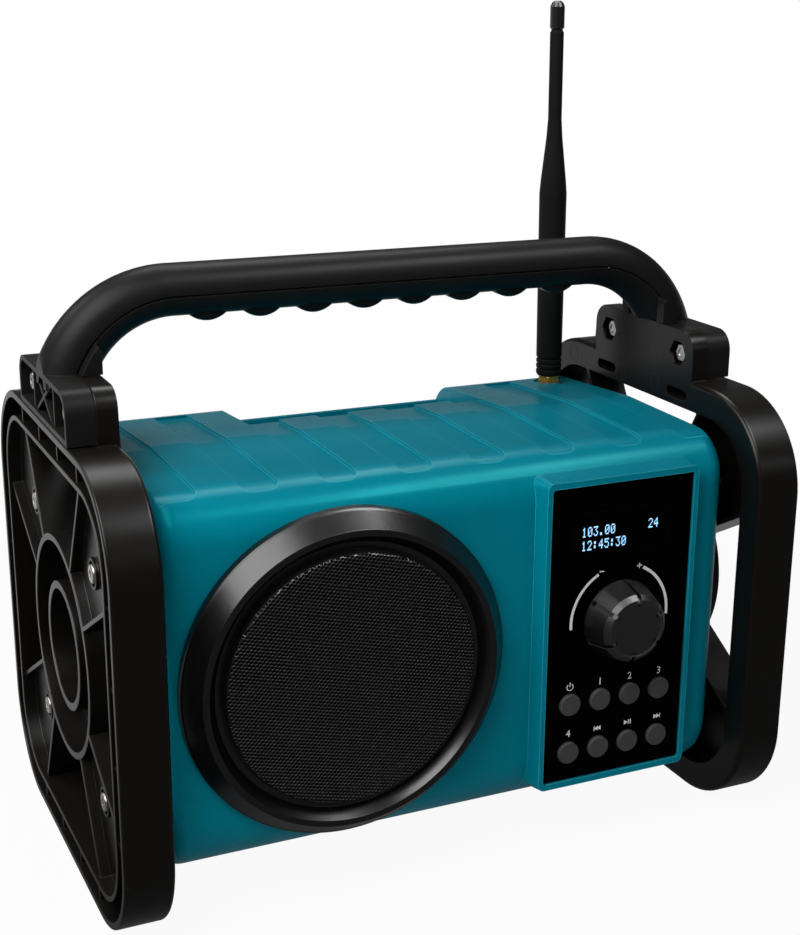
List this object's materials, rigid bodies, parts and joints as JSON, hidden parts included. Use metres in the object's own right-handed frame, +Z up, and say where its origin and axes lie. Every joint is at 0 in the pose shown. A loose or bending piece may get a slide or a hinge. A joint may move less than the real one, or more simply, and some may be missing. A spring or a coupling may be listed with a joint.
{
  "type": "jobsite radio",
  "caption": "Rugged work-site radio with end guards, carrying handle, loudspeaker, control face, turning knob, push buttons and screw-on antenna.",
  "frame": {"origin": "centre of the footprint on the ground, midway between the two end guards", "axes": "+X towards the guard beside the control face, -Y out of the front, +Z up"},
  "size_m": [0.3, 0.1954, 0.3536],
  "materials": {
    "teal_plastic": "fine satin moulded plastic",
    "black_plastic": "satin black glass-filled plastic",
    "trim_plastic": "satin black",
    "button_plastic": "matt dark grey",
    "panel_gloss": "polished black",
    "black_rubber": "matt",
    "steel": "zinc plated",
    "grille_metal": "black coated perforated sheet",
    "brass": "gold coloured plating",
    "inner_plastic": "matt",
    "circuit_board": "green solder mask",
    "heat_sink": "extruded",
    "ferrite": "dull dark grey",
    "speaker_paper": "pressed paper, matt black"
  },
  "bodies": {
    "case": {"amplifier_sink": "heat_sink", "antenna_jack": "brass", "aux_socket": "inner_plastic", "battery_contacts": "brass", "battery_pack": "inner_plastic", "battery_tray": "inner_plastic", "board_screws": "steel", "button_switches": "inner_plastic", "capacitors": "inner_plastic", "case_screws": "steel", "control_board": "circuit_board", "dc_socket": "inner_plastic", "display_module": "inner_plastic", "display_window": "panel_gloss", "door_pins": "steel", "encoder_body": "inner_plastic", "flap_anchor": "black_rubber", "front_shell": "teal_plastic", "guard_left": "black_plastic", "guard_right": "black_plastic", "guard_screws": "steel", "handle_bolts": "steel", "handle_inner_half": "black_plastic", "handle_nuts": "steel", "handle_outer_half": "black_plastic", "jack_nut": "steel", "main_board": "circuit_board", "panel_face": "panel_gloss", "panel_screws": "steel", "rear_shell": "teal_plastic", "shell_seal": "black_rubber", "speaker_basket": "steel", "speaker_cone": "speaker_paper", "speaker_dust_cap": "speaker_paper", "speaker_grille": "grille_metal", "speaker_magnet": "ferrite", "speaker_ring": "trim_plastic", "speaker_screws": "steel", "speaker_surround": "black_rubber", "tuner_can": "steel"},
    "button_top_1": {"button_top_1": "button_plastic"},
    "button_top_2": {"button_top_2": "button_plastic"},
    "button_top_3": {"button_top_3": "button_plastic"},
    "button_top_4": {"button_top_4": "button_plastic"},
    "button_low_1": {"button_low_1": "button_plastic"},
    "button_low_2": {"button_low_2": "button_plastic"},
    "button_low_3": {"button_low_3": "button_plastic"},
    "button_low_4": {"button_low_4": "button_plastic"},
    "knob_push": {"encoder_slider": "steel"},
    "knob": {"volume_knob": "trim_plastic", "encoder_shaft": "steel"},
    "battery_door": {"battery_door": "teal_plastic"},
    "socket_flap": {"socket_flap": "black_rubber"},
    "antenna_lift": {"antenna_pin": "brass"},
    "antenna": {"antenna_whip": "black_rubber", "antenna_nut": "brass", "antenna_cap": "black_rubber"}
  },
  "joints": [
    {"name": "press_top_1", "type": "slide", "parent": "case", "child": "button_top_1", "axis": [0, 1, 0], "range_m": [0, 0.001], "stiffness_N_per_m": 500, "springref_m": -0.0008},
    {"name": "press_top_2", "type": "slide", "parent": "case", "child": "button_top_2", "axis": [0, 1, 0], "range_m": [0, 0.001], "stiffness_N_per_m": 500, "springref_m": -0.0008},
    {"name": "press_top_3", "type": "slide", "parent": "case", "child": "button_top_3", "axis": [0, 1, 0], "range_m": [0, 0.001], "stiffness_N_per_m": 500, "springref_m": -0.0008},
    {"name": "press_top_4", "type": "slide", "parent": "case", "child": "button_top_4", "axis": [0, 1, 0], "range_m": [0, 0.001], "stiffness_N_per_m": 500, "springref_m": -0.0008},
    {"name": "press_low_1", "type": "slide", "parent": "case", "child": "button_low_1", "axis": [0, 1, 0], "range_m": [0, 0.001], "stiffness_N_per_m": 500, "springref_m": -0.0008},
    {"name": "press_low_2", "type": "slide", "parent": "case", "child": "button_low_2", "axis": [0, 1, 0], "range_m": [0, 0.001], "stiffness_N_per_m": 500, "springref_m": -0.0008},
    {"name": "press_low_3", "type": "slide", "parent": "case", "child": "button_low_3", "axis": [0, 1, 0], "range_m": [0, 0.001], "stiffness_N_per_m": 500, "springref_m": -0.0008},
    {"name": "press_low_4", "type": "slide", "parent": "case", "child": "button_low_4", "axis": [0, 1, 0], "range_m": [0, 0.001], "stiffness_N_per_m": 500, "springref_m": -0.0008},
    {"name": "knob_press", "type": "slide", "parent": "case", "child": "knob_push", "axis": [0, 1, 0], "range_m": [0, 0.0007], "stiffness_N_per_m": 1500, "springref_m": -0.001},
    {"name": "knob_turn", "type": "hinge", "parent": "knob_push", "child": "knob", "pos_m": [0.0703, -0.0849, 0.1043], "axis": [0, -1, 0], "continuous": true},
    {"name": "battery_door_hinge", "type": "hinge", "parent": "case", "child": "battery_door", "pos_m": [0, 0.0716, 0.0514], "axis": [-1, 0, 0], "range_deg": [0, 95]},
    {"name": "socket_flap_hinge", "type": "hinge", "parent": "case", "child": "socket_flap", "pos_m": [0.088, 0.0743, 0.0631], "axis": [-1, 0, 0], "range_deg": [0, 105]},
    {"name": "antenna_rise", "type": "slide", "parent": "case", "child": "antenna_lift", "axis": [-0.0105, 0, 0.9999], "range_m": [0, 0.00353]},
    {"name": "antenna_turn", "type": "hinge", "parent": "antenna_lift", "child": "antenna", "pos_m": [0.1075, 0.0475, 0.173], "axis": [-0.0105, 0, 0.9999], "range_deg": [0, 1801]}
  ],
  "couplings": [
    {"joint": "antenna_turn", "follows": "antenna_rise", "rad_per_m": 8900}
  ]
}
